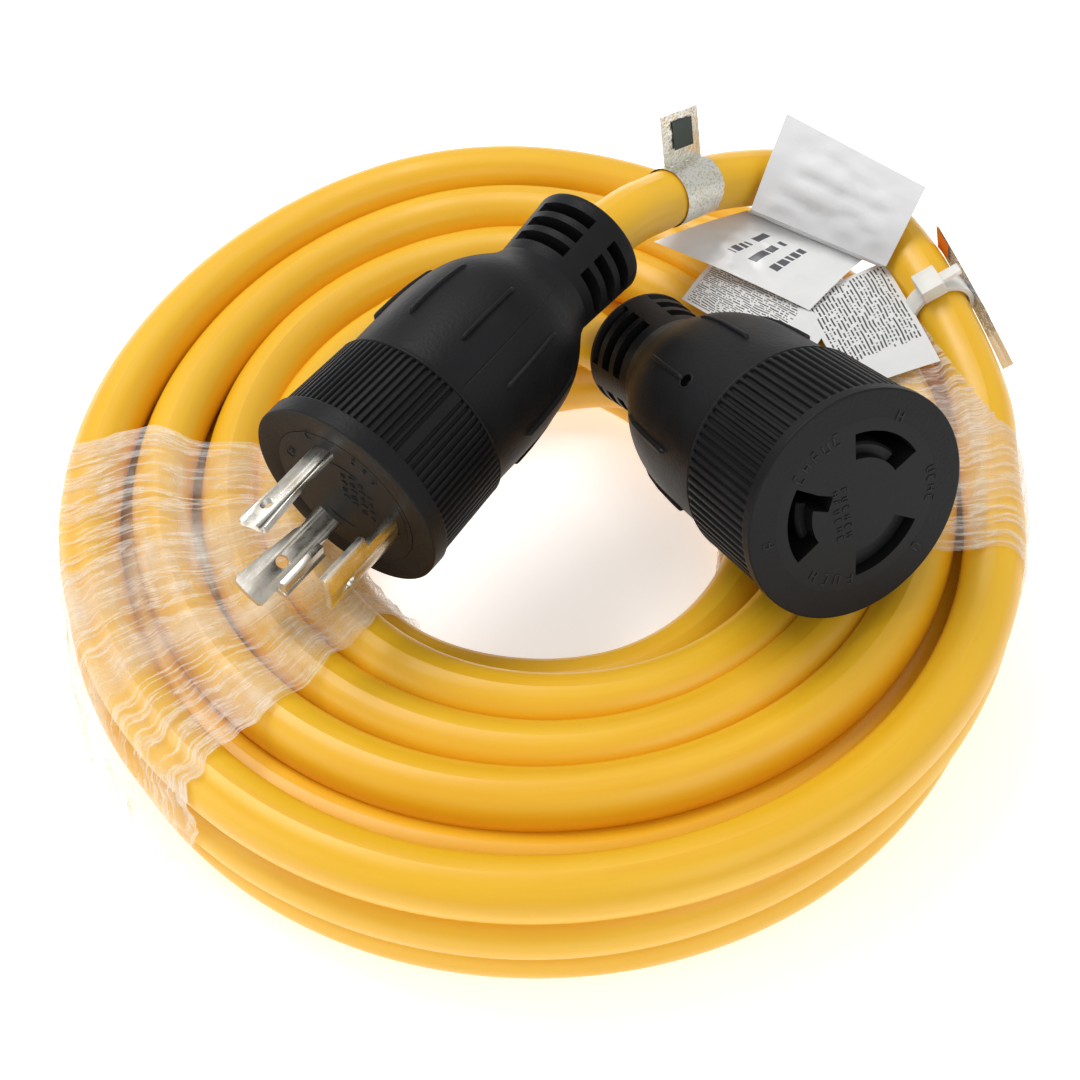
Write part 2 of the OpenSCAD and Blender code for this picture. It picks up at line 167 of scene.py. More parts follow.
def jacket_material():
    """Satin yellow PVC with drawn-out streaks, small scuffs and faint raised dashes along it."""
    m = Mat("jacket_pvc", (0.90, 0.51, 0.020), 0.36, Coat_Weight=0.12, Coat_Roughness=0.25)
    uv = m.coord("UV")
    sep = m.node("ShaderNodeSeparateXYZ", {"Vector": uv})
    u, v = sep.outputs[0], sep.outputs[1]
    streak = m.noise(1.0, 3, m.stretch(uv, (9, 14, 1)))
    blotch = m.noise(24, 4)
    col = m.mix(m.ramp(streak, 0.3, 0.7), (0.87, 0.46, 0.013), (0.92, 0.53, 0.021))
    col = m.mix(m.math("MULTIPLY", m.ramp(blotch, 0.55, 0.8), 0.22), col, (0.96, 0.60, 0.050))
    scuff = m.ramp(m.noise(1.0, 5, m.stretch(uv, (26, 160, 1)), 0.65), 0.66, 0.78)
    col = m.mix(m.math("MULTIPLY", scuff, 0.16), col, (0.66, 0.35, 0.02))
    m.to("Base Color", col)
    m.to("Roughness", m.ramp(m.noise(70, 4), 0.3, 0.75, 0.30, 0.44))
    # raised marks: short blocks in a narrow strip along the cord, in groups with gaps between
    strip = m.math("MULTIPLY", m.math("GREATER_THAN", u, 0.205), m.math("LESS_THAN", u, 0.285))
    group = m.math("LESS_THAN", m.math("FRACT", m.math("MULTIPLY", v, 3.1)), 0.52)
    word = m.math("GREATER_THAN", m.noise(1.0, 0, m.stretch(uv, (0, 38, 1))), 0.44)
    cells = m.node("ShaderNodeTexWhiteNoise",
                   {"Vector": m.node("ShaderNodeVectorMath",
                                     {0: m.stretch(uv, (52, 620, 1))}, operation="FLOOR").outputs[0]},
                   noise_dimensions="3D").outputs["Value"]
    block = m.math("GREATER_THAN", cells, 0.42)
    mark = m.math("MULTIPLY", m.math("MULTIPLY", strip, group), m.math("MULTIPLY", word, block))
    first = m.bump(mark, 0.35, 0.00025)
    second = m.bump(m.noise(1.0, 3, m.stretch(uv, (30, 260, 1))), 0.10, 0.0002, first)
    m.to("Normal", m.bump(m.noise(1400, 2), 0.06, 0.00008, second))
    return m.m


def nickel_material():
    m = Mat("nickel", (0.70, 0.66, 0.58), 0.28, 1.0)
    brushed = m.noise(1.0, 4, m.stretch(m.coord(), (260, 260, 1500)), 0.6)
    blotch = m.noise(190, 4)
    col = m.mix(m.ramp(blotch, 0.4, 0.7), (0.73, 0.70, 0.63), (0.55, 0.50, 0.42))
    m.to("Base Color", m.mix(m.ramp(m.noise(640, 6, rough=0.7), 0.66, 0.76), col, (0.30, 0.24, 0.17)))
    m.to("Roughness", m.ramp(brushed, 0.3, 0.7, 0.20, 0.40))
    m.to("Normal", m.bump(brushed, 0.10, 0.00006))
    return m.m


def brass_material():
    m = Mat("brass", (0.80, 0.56, 0.20), 0.25, 1.0)
    m.to("Base Color", m.mix(m.ramp(m.noise(700, 4), 0.4, 0.7), (0.82, 0.60, 0.24), (0.55, 0.34, 0.10)))
    m.to("Roughness", m.ramp(m.noise(500, 3), 0.3, 0.7, 0.18, 0.36))
    return m.m


def plain_plastic(name, base, rough, **k):
    m = Mat(name, base, rough, **k)
    m.to("Base Color", m.mix(m.ramp(m.noise(240, 4), 0.35, 0.7), base, tuple(c * 0.88 for c in base)))
    m.to("Normal", m.bump(m.noise(900, 2), 0.08, 0.0001))
    return m.m


def film_material():
    """Clear film: mostly see-through, milky where it is pleated, with bright drawn wrinkles."""
    m = Mat("stretch_film", (0.93, 0.90, 0.80), 0.14, IOR=1.45)
    uv = m.coord("UV")
    fine = m.noise(1.0, 6, m.stretch(uv, (330, 26, 1)), 0.62)
    broad = m.noise(1.0, 4, m.stretch(uv, (60, 16, 1)), 0.55)
    cross = m.noise(1.0, 5, m.stretch(uv, (34, 120, 1)), 0.6)
    off_middle = m.math("ABSOLUTE", m.math("SUBTRACT", fine, 0.5))
    ridge = m.ramp(m.math("SUBTRACT", 1.0, m.math("MULTIPLY", off_middle, 14.0)), 0.2, 1.0)
    milky = m.ramp(broad, 0.42, 0.70)
    a = m.math("MULTIPLY", ridge, 0.42)
    a = m.math("MAXIMUM", a, m.math("MULTIPLY", milky, 0.44))
    a = m.math("ADD", a, m.math("MULTIPLY", m.ramp(cross, 0.5, 0.72), 0.26))
    m.to("Alpha", m.math("MINIMUM", m.math("ADD", a, 0.08), 0.80))
    h = m.math("ADD", m.math("MULTIPLY", fine, 0.5), m.math("ADD", broad, m.math("MULTIPLY", cross, 0.5)))
    m.to("Normal", m.bump(h, 0.9, 0.0022))
    m.to("Roughness", m.ramp(broad, 0.3, 0.7, 0.10, 0.30))
    return m.m


def printed_paper(name, base, rough, rows, cols, density, ink, margin=0.08, coat=0.0, blank=0.0):
    """Paper with rows of plain bars for print. UV runs 0 to 1, and the last part of U is blank."""
    m = Mat(name, base, rough, Coat_Weight=coat, Coat_Roughness=0.12)
    uv = m.coord("UV")
    sep = m.node("ShaderNodeSeparateXYZ", {"Vector": uv})
    u, v = sep.outputs[0], sep.outputs[1]
    row = m.math("FRACT", m.math("MULTIPLY", v, float(rows)))
    line = m.math("MULTIPLY", m.math("GREATER_THAN", row, 0.30), m.math("LESS_THAN", row, 0.72))
    cell = m.node("ShaderNodeTexWhiteNoise",
                  {"Vector": m.node("ShaderNodeVectorMath",
                                    {0: m.stretch(uv, (cols, rows, 1))}, operation="FLOOR").outputs[0]},
                  noise_dimensions="3D").outputs["Value"]
    ink_here = m.math("MULTIPLY", line, m.math("LESS_THAN", cell, density))
    for s, lo in ((u, margin), (v, margin)):
        ink_here = m.math("MULTIPLY", ink_here, m.math("GREATER_THAN", s, lo))
        ink_here = m.math("MULTIPLY", ink_here, m.math("LESS_THAN", s, 1 - lo))
    ink_here = m.math("MULTIPLY", ink_here, m.math("LESS_THAN", u, 1 - blank))
    paper = m.mix(m.ramp(m.noise(140, 5), 0.35, 0.75), base, tuple(c * 0.93 for c in base))
    m.to("Base Color", m.mix(ink_here, paper, ink))
    m.to("Normal", m.bump(m.noise(260, 5), 0.16, 0.0006))
    m.to("Roughness", m.ramp(m.noise(90, 3), 0.3, 0.7, rough - 0.05, rough + 0.06))
    return m.m


def foil_material():
    """Security foil: pale metal with a patchy gold, green and violet sheen and small embossing."""
    m = Mat("foil", (0.70, 0.66, 0.55), 0.30, 0.85)
    patch = m.noise(330, 4)
    fine = m.node("ShaderNodeTexVoronoi", {"Vector": m.coord(), "Scale": 1500.0}).outputs["Distance"]
    col = m.mix(m.ramp(patch, 0.35, 0.5), (0.86, 0.80, 0.62), (0.60, 0.66, 0.50))
    col = m.mix(m.ramp(patch, 0.5, 0.62), col, (0.85, 0.62, 0.30))
    col = m.mix(m.ramp(m.noise(210, 2), 0.56, 0.66), col, (0.55, 0.52, 0.66))
    m.to("Base Color", m.mix(m.ramp(fine, 0.25, 0.55), col, (0.92, 0.90, 0.84)))
    m.to("Normal", m.bump(fine, 0.35, 0.0003))
    return m.m


MATS = {
    "overmold": black_pvc("overmold_pvc", (0.0085, 0.0087, 0.0097), 0.46, 0.30),
    "insert": black_pvc("insert_plastic", (0.0095, 0.0097, 0.0105), 0.42, 0.12),
    "mark": black_pvc("mark_plastic", (0.024, 0.024, 0.025), 0.32, 0.05),
    # near-black and without shine: painted shade for the connector's small round hole, which is only a disc
    "pit": plain_plastic("hole_painted_shade", (0.002, 0.002, 0.002), 0.9, Specular_IOR_Level=0.0),
    "jacket": jacket_material(),
    "blade": nickel_material(),
    "contact": brass_material(),
    "nylon": plain_plastic("tie_nylon", (0.80, 0.79, 0.73), 0.34, Subsurface_Weight=0.3,
                           Subsurface_Scale=0.002),
    "core_black": plain_plastic("core_black", (0.02, 0.02, 0.022), 0.35),
    "core_white": plain_plastic("core_white", (0.80, 0.79, 0.74), 0.35),
    "core_green": plain_plastic("core_green", (0.05, 0.28, 0.09), 0.35),
    "film": film_material(),
    "foil": foil_material(),
    "label": printed_paper("label_gloss", (0.84, 0.84, 0.85), 0.30, 7, 46, 0.0, (0.1, 0.1, 0.1), coat=0.6),
    "label_marks": printed_paper("label_marks", (0.84, 0.84, 0.84), 0.34, 7, 44, 0.62, (0.10, 0.10, 0.11),
                                 0.28, 0.4),
    "leaflet": printed_paper("leaflet_print", (0.80, 0.80, 0.79), 0.55, 24, 84, 0.72, (0.05, 0.05, 0.05), 0.03,
                             blank=0.24),
    "ink": plain_plastic("dark_ink", (0.03, 0.055, 0.05), 0.4),
    "orange": plain_plastic("orange_ink", (0.80, 0.22, 0.02), 0.5),
}


# ---------------------------------------------------------------- mesh helpers

def piece(name, verts, faces, mat, uv=None, smooth=True, sharp=None):
    """verts in millimetres. uv holds one pair per vertex."""
    me = bpy.data.meshes.new(name)
    me.from_pydata((np.asarray(verts, float) * MM).tolist(), [], faces)
    if uv is not None:
        layer = me.uv_layers.new(name="uv")
        idx = np.empty(len(me.loops), np.int32)
        me.loops.foreach_get("vertex_index", idx)
        layer.data.foreach_set("uv", np.asarray(uv, np.float32)[idx].ravel())
    me.polygons.foreach_set("use_smooth", [smooth] * len(me.polygons))
    if sharp is not None:
        me.set_sharp_from_angle(angle=math.radians(sharp))
    me.materials.append(MATS[mat])
    me.validate()
    ob = bpy.data.objects.new(name, me)
    scene.collection.objects.link(ob)
    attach(ob, "root")
    return ob


def grid_faces(nu, nv, wrap_u=False, wrap_v=False, flip=False):
    """Quads of a grid stored row by row: nu rows of nv points."""
    i = np.arange(nu if wrap_u else nu - 1)[:, None]
    j = np.arange(nv if wrap_v else nv - 1)[None, :]
    i2, j2 = (i + 1) % nu, (j + 1) % nv
    q = np.stack([i * nv + j, i * nv + j2 + 0 * i, i2 * nv + j2, i2 * nv + j + 0 * i2], -1).reshape(-1, 4)
    return (q[:, ::-1] if flip else q).tolist()


class Pose:
    """The place of a moulded end: its face's middle, and its outward normal's tilt and turn."""

    def __init__(self, at, tilt, turn):
        t, a = math.radians(tilt), math.radians(turn)
        ry = np.array([[math.cos(t), 0, math.sin(t)], [0, 1, 0], [-math.sin(t), 0, math.cos(t)]])
        rz = np.array([[math.cos(a), -math.sin(a), 0], [math.sin(a), math.cos(a), 0], [0, 0, 1]])
        self.at, self.m = np.array(at, float), rz @ ry
        self.dir = self.m[:, 2]

    def world(self, p):
        return self.at + np.asarray(p, float) @ self.m.T

    def polar(self, ang, r, z):
        a = np.radians(ang)
        return self.world(np.stack([r * np.cos(a), r * np.sin(a), z + 0 * np.asarray(a)], -1))


PLUG = Pose((-39.9, -26.6, 61.1), 93, -128)
CONN = Pose((63.5, -39.5, 68.2), 70.5, -62)
CONN_POLE = (143, 23, 263)
CORD_R = 6.7


# ---------------------------------------------------------------- cord

def between(a, b, c, d, t):
    """A smooth curve from b to c that heads for its neighbours a and d."""
    return (b + (c - a) * t / 2 + (2 * a - 5 * b + 4 * c - d) * t ** 2 / 2
            + (3 * b - a - 3 * c + d) * t ** 3 / 2)


# middle of each strand to the right, back, left and front of the coil, and its height there
LANES = [
    ((65, 62, 57, 58.5), (28.5, 31, 31, 29.5)),
    ((76, 75.6, 69.5, 70.8), (30.5, 31, 31, 30)),
    ((87, 88.6, 84, 83.5), (32, 32.5, 32, 31.9)),
    ((91, 91, 91.5, 92.8), (19.9, 19.9, 21, 24.3)),
    ((77.5, 77.5, 77.5, 77.5), (19.4, 19.4, 19.4, 19.4)),
    ((64, 64, 64, 64), (19, 19, 19, 19)),
    ((50.5, 50, 49.5, 48.8), (20, 20, 20, 20)),
    ((48.8, 48.8, 48.8, 48.8), (6.7, 6.7, 6.7, 6.7)),
    ((62, 62, 62, 62), (6.7, 6.7, 6.7, 6.7)),
    ((75.4, 75.4, 75.4, 75.4), (6.7, 6.7, 6.7, 6.7)),
    ((88.8, 88.8, 88.8, 88.8), (6.7, 6.7, 6.7, 6.7)),
    ((99, 101, 99.5, 102.2), (6.7, 6.7, 6.7, 6.7)),
    ((101, 103, 101, 104.7), (19.9, 19.9, 19.9, 19.9)),
    ((101, 102.5, 99.5, 104.6), (33.2, 33.2, 33.2, 33.2)),
]


WIND_START, WIND_END, WIND_STEP = 119, 5034, 5  # degrees of winding along the cord's coil
STEP_END, STEP_SPAN = 105, 70


def lane_value(four, th):
    """A value at angle th, smooth between those to the right, back, left and front."""
    right, back, left, front = four
    return ((right + back + left + front) / 4 + (right - left) / 2 * math.cos(th)
            + (back - front) / 2 * math.sin(th) + (right - back + left - front) / 4 * math.cos(2 * th))


def lane_point(phi):
    """A point of the wound cord after phi degrees of winding.

    Each turn steps over to the next strand at the back right, within STEP_SPAN degrees.
    """
    th = math.radians(phi)
    k = int((phi - STEP_END) // 360)
    t = (phi - (STEP_END + 360 - STEP_SPAN) - 360 * k) / STEP_SPAN
    t = min(max(t, 0), 1)
    t = t * t * (3 - 2 * t)
    last = len(LANES) - 1
    a, b = LANES[min(k, last)], LANES[min(k + 1, last)]
    r = lane_value(a[0], th) * (1 - t) + lane_value(b[0], th) * t
    z = lane_value(a[1], th) * (1 - t) + lane_value(b[1], th) * t
    r += 0.35 * math.sin(3 * th + 1.7 * k) + 0.25 * math.sin(5 * th + 2.3 * k)
    if z > 15:
        z += 0.25 * math.sin(4 * th + 1.1 * k)
    return (r * math.cos(th), r * math.sin(th), z)


plug_tail = [PLUG.at - 62 * PLUG.dir, PLUG.at - 78 * PLUG.dir, (21.6, 49.6, 64.2), (29.5, 58.5, 60.5),
             (39, 67.5, 56.8), (50, 74, 53), (62, 77.3, 49.8), (73, 76, 47), (83, 67.5, 44.5), (90.5, 55.5, 42),
             (95.2, 42.5, 39.5), (99.5, 28.5, 36.5), (102, 14, 34.2), (101, 0, 33.3)]
connector_tail = [CONN.at - 65 * CONN.dir, CONN.at - 80 * CONN.dir, (16, 40, 33.5), (10, 48, 31.5),
                  (0, 56, 30.5), (-12, 60, 30)]


def cord_line():
    turns = [lane_point(p) for p in range(WIND_START, WIND_END, WIND_STEP)]
    knots = np.array([tuple(p) for p in [*connector_tail, *turns, *plug_tail[::-1]]], float)
    out = []
    for i in range(len(knots) - 1):
        a, b, c, d = (knots[min(max(i + k, 0), len(knots) - 1)] for k in (-1, 0, 1, 2))
        n = max(2, int(round(np.linalg.norm(c - b) / 3.4)))
        out += [between(a, b, c, d, k / n) for k in range(n)]
    out.append(knots[-1])
    return np.array(out[::-1])


def tube(line, radius, sides):
    """Rings square to the line, each with its first point on top. Returns points and uv."""
    h = np.gradient(line, axis=0)
    h /= np.linalg.norm(h, axis=1)[:, None]
    side = np.cross(h, (0, 0, 1.0))
    side /= np.linalg.norm(side, axis=1)[:, None]
    up = np.cross(side, h)
    run = np.concatenate([[0], np.cumsum(np.linalg.norm(np.diff(line, axis=0), axis=1))])
    a = np.linspace(0, TAU, sides + 1)
    ring = np.cos(a)[None, :, None] * up[:, None, :] + np.sin(a)[None, :, None] * side[:, None, :]
    pts = line[:, None, :] + radius * ring
    uv = np.stack(np.broadcast_arrays(a[None, :] / TAU, run[:, None] * MM), -1)
    return pts, uv, run


line = cord_line()
pts, uv, run = tube(line, CORD_R, 22)
n_ring, n_side = pts.shape[:2]
faces = grid_faces(n_ring, n_side)
end_a = list(range(n_side - 1))
end_b = [(n_ring - 1) * n_side + k for k in range(n_side - 1)][::-1]
cord = piece("cord", pts.reshape(-1, 3), faces + [end_a, end_b], "jacket", uv.reshape(-1, 2))


# ---------------------------------------------------------------- moulded ends

def rib_wave(ang, count, wide_at, wide):
    """1 on a grip rib and 0 between ribs, with one wide flat rib at wide_at."""
    x = (ang * count / 360.0 + 0.5) % 1.0
    d = np.abs(x - 0.5) * 2
    wave = 1 - np.clip((d - 0.42) / 0.26, 0, 1)
    away = np.abs((ang - wide_at + 180) % 360 - 180)
    return np.where(away < wide, 1.0, wave)


def moulded_end(name, pose, profile, grip, ribs, dome, wide_at, samples):
    """profile is [(radius, depth, ribbed)] from the face to the neck; the inner wall closes it."""
    ang = np.arange(samples) * 360.0 / samples
    count, depth = ribs
    wave = rib_wave(ang, count, wide_at, 180.0 / count * 0.9)
    away = np.abs((ang - wide_at + 180) % 360 - 180)
    rows, zs = [], []
    for r, s, ribbed in profile:
        row = np.full(samples, float(r))
        if ribbed:
            row = row - depth * (1 - wave)
        if grip[1] + 2 < s < dome[1] - 4:
            row = row - 0.16 * np.exp(-(away / 0.35) ** 2)
        rows.append(row)
        zs.append(-s)
    r = np.array(rows)
    a = np.radians(ang)
    p = np.stack([r * np.cos(a), r * np.sin(a), np.array(zs)[:, None] + 0 * r], -1)
    return piece(name, pose.world(p.reshape(-1, 3)), grid_faces(len(rows), samples, True, True, True),
                 "overmold", sharp=52)


def fine(profile):
    """Adds points between the corners of the long smooth stretches."""
    out = []
    for (r0, s0, f0), (r1, s1, f1) in zip(profile, profile[1:]):
        n = max(1, int(abs(s1 - s0) / 1.6)) if f0 == f1 else 1
        out += [(r0 + (r1 - r0) * k / n, s0 + (s1 - s0) * k / n, f0) for k in range(n)]
    return out + [profile[-1]]


def smooth_dome(knots, per=7):
    k = np.array(knots, float)
    out = []
    for i in range(len(k) - 1):
        a, b, c, d = (k[min(max(i + j, 0), len(k) - 1)] for j in (-1, 0, 1, 2))
        out += [tuple(between(a, b, c, d, t / per)) for t in range(per)]
    out.append(tuple(k[-1]))
    return [(r, s, False) for r, s in out]


PLUG_DOME = [(21.2, 25.2), (21.3, 32), (21.3, 40), (20.9, 46), (20.2, 51), (19, 55.2), (17.2, 59), (15.2, 62.2),
             (13.5, 65), (12.4, 68)]
CONN_DOME = [(22.9, 26.4), (22.8, 34), (22.5, 42), (22.1, 48), (21.3, 53), (19.9, 57.4), (18, 61.4),
             (15.9, 65), (14.1, 68), (13.2, 71)]


def dome_radius(knots, s):
    return float(np.interp(s, [k[1] for k in knots], [k[0] for k in knots]))


plug_profile = fine([
    (17.62, 8, False), (17.62, 0.3, False), (17.66, 0.1, False), (17.8, 0, False), (22.9, 0, False),
    (23.05, 0, False), (23.25, 0.05, False), (23.37, 0.18, False), (23.4, 0.4, False), (23.4, 0.55, False),
    (23.4, 4.0, False), (23.4, 4.15, False), (23.34, 4.3, False), (23.15, 4.36, False), (22.8, 4.4, True),
    (22.78, 4.7, True), (22.0, 23.4, True), (21.9, 23.9, True), (21.75, 24.05, False), (21.9, 24.15, False),
    (22.0, 24.3, False), (21.95, 24.5, False), (21.6, 24.62, False), (21.3, 24.75, False)
]) + smooth_dome(PLUG_DOME) + [(9.0, 68, False), (9.0, 61, False)]
conn_profile = fine([
    (19.11, 8, False), (19.11, 0, False), (19.25, 0, False), (24.9, 0, False), (25.05, 0, False),
    (25.25, 0.05, False), (25.37, 0.18, False), (25.4, 0.4, False), (25.4, 0.55, False), (25.4, 2.25, False),
    (25.4, 2.4, False), (25.34, 2.52, False), (25.2, 2.58, False), (24.9, 2.62, True), (24.88, 2.9, True),
    (24.3, 24.6, True), (24.2, 25.1, True), (24.1, 25.25, False), (24.25, 25.4, False), (24.3, 25.6, False),
    (24.1, 25.8, False), (23.4, 25.95, False), (23.0, 26.1, False)
]) + smooth_dome(CONN_DOME) + [(9.0, 71, False), (9.0, 64, False)]
plug_body = moulded_end("plug_body", PLUG, plug_profile, (4.7, 24), (84, 0.7), (25, 68), 144, 1008)
conn_body = moulded_end("connector_body", CONN, conn_profile, (3.1, 25.2), (81, 0.75), (26, 71), 330, 972)
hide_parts("plug_overmold")
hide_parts("connector_overmold")


SLOT_FLOOR_R = 8.4  # just outside the jacket, at the bottom of the relief's slots


def strain_relief(name, pose, neck, end, r1, r2, turn):
    """Sleeve with four sets of three open slots, down to the jacket."""
    length, gap, first, arc = 2.6, 4.6, 3.0, 64.0
    s_rows = [(9.0, neck + 0.02), (r1, neck + 0.02), (r1 + 0.05, neck + 1.2)]
    edge = 0.12
    stations = [(neck + 2.0, 0)]
    for i in range(3):
        a = neck + first + gap * i
        stations += [(a - edge, 0), (a, 1), (a + length, 1), (a + length + edge, 0), (a + length + 1.0, 0)]
    stations = [(s, k) for s, k in stations if s < end - 1.6]
    ang = []
    for k in range(4):
        mid = turn + 45 + 90 * k
        ang += [(mid - 45 + t, 0) for t in (0, 4, 8)] + [(mid - arc / 2 - 0.5, 0)]
        ang += [(mid - arc / 2 + arc * t / 20, 1) for t in range(21)] + [(mid + arc / 2 + 0.5, 0)]
        ang += [(mid + 45 - t, 0) for t in (8, 4)]
    a = np.radians([t for t, _ in ang])
    cut = np.array([f for _, f in ang])
    rows, zs = [], []
    for r, s in s_rows:
        rows.append(np.full(len(a), r))
        zs.append(-s)
    for s, k in stations:
        r = r1 + (r2 - r1) * (s - neck) / (end - neck)
        rows.append(np.where((cut == 1) & (k == 1), SLOT_FLOOR_R, r))
        zs.append(-s)
    for r, s in ((r2 - 0.05, end - 1.5), (r2, end - 0.9), (r2 - 0.15, end - 0.4), (r2 - 0.6, end - 0.08),
                 (r2 - 1.1, end), (7.2, end), (6.85, end - 0.3), (6.85, neck + 1)):
        rows.append(np.full(len(a), r))
        zs.append(-s)
    r = np.array(rows)
    p = np.stack([r * np.cos(a), r * np.sin(a), np.array(zs)[:, None] + 0 * r], -1)
    return piece(name, pose.world(p.reshape(-1, 3)), grid_faces(len(rows), len(a), False, True, True),
                 "overmold", sharp=40)


plug_relief = strain_relief("plug_relief", PLUG, 68, 86.5, 12.3, 13.6, -35)
conn_relief = strain_relief("connector_relief", CONN, 71, 87, 13.0, 13.8, 0)
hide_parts("plug_strain_relief")
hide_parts("connector_strain_relief")


# half of a rib's width and its height, both as shares, round its section
RIB_SECTION = [(-1.25, -0.25), (-1, 0.15), (-0.85, 0.85), (-0.45, 1), (0.45, 1), (0.85, 0.85), (1, 0.15),
               (1.25, -0.25)]


def dome_rib(name, pose, knots, ang, s0, s1, half_w, high):
    """A long thin rib that rises out of the dome, rounded at both ends."""
    rows = []
    n = 26
    for i in range(n + 1):
        t = i / n
        s = s0 + (s1 - s0) * t
        ends = [math.sqrt(max(0.0, 1 - max(0, 1 - f * 14) ** 2)) for f in (t, 1 - t)]
        grow = min(1, *ends)
        h = high * (1 - 0.35 * t)
        base = dome_radius(knots, s)
        row = []
        for w, k in RIB_SECTION:
            row.append((base + h * k * (grow if k > 0 else 1), w * half_w * (0.25 + 0.75 * grow), -s))
        rows.append(row)
    p = np.array(rows).reshape(-1, 3)
    a = math.radians(ang)
    c, s = math.cos(a), math.sin(a)
    q = np.stack([p[:, 0] * c - p[:, 1] * s, p[:, 0] * s + p[:, 1] * c, p[:, 2]], -1)
    return piece(name, pose.world(q), grid_faces(n + 1, 8), "overmold", sharp=60)


HOLE_RIB = 4  # the connector's rib that ends at a small round hole
CONN_RIB_ANGLES = [54.5 + 40.5 * i for i in range(8)]
for i in range(8):
    dome_rib("plug_rib_%d" % i, PLUG, PLUG_DOME, 52 + 37 * i, 34, 52.8, 0.5, 0.95)
    dome_rib("connector_rib_%d" % i, CONN, CONN_DOME, CONN_RIB_ANGLES[i],
             40.3 if i == HOLE_RIB else 37.4, 57, 0.55, 0.8)


# ---------------------------------------------------------------- softened copies of the small hard parts

def softened(node, name, mat, width, angle=30, merge=0.00002):
    """A copy of a node's mesh with its flat regions joined up and its edges rounded."""
    src = bpy.data.objects[node]
    me = src.data.copy()
    me.name = name
    bm = bmesh.new()
    bm.from_mesh(me)
    bmesh.ops.remove_doubles(bm, verts=bm.verts, dist=merge)
    bmesh.ops.dissolve_limit(bm, angle_limit=math.radians(1.2), verts=bm.verts, edges=bm.edges)
    edges = [e for e in bm.edges if len(e.link_faces) == 2 and e.calc_face_angle(0) > math.radians(angle)]
    bmesh.ops.bevel(bm, geom=edges, offset=width, segments=2, profile=0.6, affect="EDGES", clamp_overlap=True)
    bm.to_mesh(me)
    bm.free()
    me.materials.clear()
    me.materials.append(MATS[mat])
    me.polygons.foreach_set("use_smooth", [True] * len(me.polygons))
    me.set_sharp_from_angle(angle=math.radians(38))
    ob = bpy.data.objects.new(name, me)
    scene.collection.objects.link(ob)
    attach(ob, "root")
    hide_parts(node)
    return ob


for pole in "xy":
    softened("blade_" + pole, "blade_%s_plated" % pole, "blade", 0.00014)
softened("blade_ground", "blade_ground_plated", "blade", 0.00014)
softened("cable_tie", "cable_tie_nylon", "nylon", 0.0003)


def recolour(node, mat):
    ob = bpy.data.objects[node]
    ob.data.materials.clear()
    ob.data.materials.append(MATS[mat])


for node, mat in {
    "plug_face_insert": "insert", "connector_face_insert": "insert", "contact_x": "contact",
    "contact_y": "contact", "contact_ground": "contact", "plug_core_x": "core_black",
    "plug_core_y": "core_white", "plug_core_ground": "core_green", "connector_core_x": "core_black",
    "connector_core_y": "core_white", "connector_core_ground": "core_green",
}.items():
    recolour(node, mat)


# ---------------------------------------------------------------- face marks and small details

def bar(pose, x, y, length, width, turn, high=0.2):
    """A small raised bar on a face: eight corners with a narrower top. Returns points and faces."""
    t = math.radians(turn)
    c = np.array([x, y, 0])
    ux, uy = np.array([math.cos(t), math.sin(t), 0]), np.array([-math.sin(t), math.cos(t), 0])
    pts = []
    for h, k in ((-0.1, 1.0), (high, 0.72)):
        for sx, sy in ((-1, -1), (1, -1), (1, 1), (-1, 1)):
            pts.append(c + ux * sx * length / 2 * k + uy * sy * width / 2 * k + np.array([0, 0, h]))
    f = [[3, 2, 1, 0], [4, 5, 6, 7], [0, 1, 5, 4], [1, 2, 6, 5], [2, 3, 7, 6], [3, 0, 4, 7]]
    return pose.world(np.array(pts)), f


def marks(name, pose, bars):
    vs, fs = [], []
    for b in bars:
        p, f = bar(pose, *b)
        fs += [[k + len(vs) for k in q] for q in f]
        vs += p.tolist()
    return piece(name, np.array(vs), fs, "mark", smooth=False)


def stroke_group(x, y, turn, k, size):
    """Two to four strokes in a small box. They are no letter of any script."""
    t = math.radians(turn)
    w, thick = size * 0.52, size * 0.13
    parts = [(-w / 2, 0, size, 90)]
    if k in (0, 2, 4):
        parts.append((w / 2, 0, size, 90))
    if k in (1, 3, 5):
        parts.append((0, size / 2, w, 0))
    if k in (1, 2, 4):
        parts.append((0, 0, w, 0))
    if k in (0, 3, 5):
        parts.append((0, -size / 2, w, 0))
    return [(x + a * math.cos(t) - b * math.sin(t), y + a * math.sin(t) + b * math.cos(t), length, thick, turn + d)
            for a, b, length, d in parts]


def arc_row(ang, r, count, step, seed, size):
    """A row of generic stroke groups along an arc, upright away from the axis."""
    out = []
    for i in range(count):
        a = ang + (i - (count - 1) / 2) * step
        out += stroke_group(r * math.cos(math.radians(a)), r * math.sin(math.radians(a)), a - 90,
                            (i * 7 + seed * 5) % 6, size)
    return out


def straight_row(x0, x1, y, count, seed, size):
    out = []
    for i in range(count):
        out += stroke_group(x0 + (x1 - x0) * i / (count - 1), y, 0, (i * 5 + seed * 7) % 6, size)
    return out


